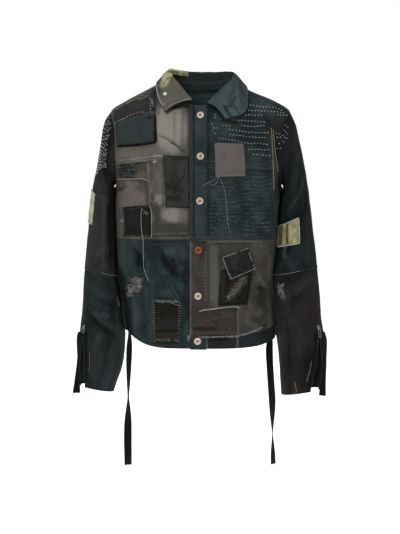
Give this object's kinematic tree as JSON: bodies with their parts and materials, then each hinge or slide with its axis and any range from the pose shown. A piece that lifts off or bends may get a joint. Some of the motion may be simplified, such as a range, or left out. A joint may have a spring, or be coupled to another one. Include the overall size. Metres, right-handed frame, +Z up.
{
  "type": "denim work jacket",
  "caption": "Patched and mended button-front denim work jacket with a turned-down collar, long sleeves with open cuff zips, and hanging hem tapes.",
  "frame": {"origin": "middle of the neck opening, level with the tops of the wearer's shoulders, where the jacket is held", "axes": "+X towards the wearer's left arm, +Y towards the back, +Z up towards the collar"},
  "size_m": [0.6289, 0.2747, 0.9935],
  "materials": {
    "teal": "washed dark teal denim",
    "washed": "bleached grey denim",
    "charcoal": "charcoal twill",
    "slate": "slate blue-grey denim",
    "taupe": "faded taupe cotton",
    "black": "black cotton",
    "brown": "dark red-brown cotton",
    "olive": "faded olive-grey denim",
    "navy": "dark navy denim",
    "umber": "dark brown-black cotton",
    "camo": "faded camouflage print cotton",
    "steel": "dull nickel",
    "button": "pale enamelled metal",
    "copper": "worn copper"
  },
  "bodies": {
    "jacket": {"back_lower": "teal", "back_upper": "teal", "button_1": "button", "button_2": "button", "button_3": "button", "button_4": "copper", "button_5": "button", "button_6": "button", "button_band_lower": "brown", "button_band_upper": "teal", "collar_leaf_left": "slate", "collar_leaf_right": "olive", "collar_stand": "umber", "collar_stud": "steel", "cuff_gusset_left": "black", "cuff_gusset_right": "black", "left_front_lower": "olive", "left_front_upper": "teal", "left_hem_band": "teal", "patch_chest_charcoal": "charcoal", "patch_chest_taupe": "taupe", "patch_collar_outer": "camo", "patch_frayed_black": "black", "patch_hem_brown": "brown", "patch_hip_black": "black", "patch_hip_darned": "black", "patch_hip_tilted": "black", "patch_pocket_brown": "taupe", "patch_shoulder_round": "slate", "patch_shoulder_yoke": "charcoal", "patch_sleeve_left_camo": "camo", "patch_sleeve_right_camo": "camo", "right_front_lower": "teal", "right_front_upper": "washed", "sleeve_left_lower": "umber", "sleeve_left_upper": "navy", "sleeve_right_lower": "navy", "sleeve_right_upper": "charcoal", "tape_left": "black", "tape_right": "black", "zip_flap_left": "black", "zip_flap_right": "black", "zip_slider_left": "steel", "zip_slider_right": "steel", "zip_tape_left_front": "black", "zip_tape_right_front": "black"},
    "pull_right": {"zip_pull_right": "steel"},
    "pull_left": {"zip_pull_left": "steel"}
  },
  "joints": [
    {"name": "pull_right_swing", "type": "hinge", "parent": "jacket", "child": "pull_right", "pos_m": [-0.28579, -0.06693, -0.58823], "axis": [-0.6647, 0.7469, -0.0197], "range_deg": [0, 150]},
    {"name": "pull_left_swing", "type": "hinge", "parent": "jacket", "child": "pull_left", "pos_m": [0.29285, -0.0764, -0.58816], "axis": [-0.7339, -0.6768, -0.0575], "range_deg": [0, 150]}
  ]
}
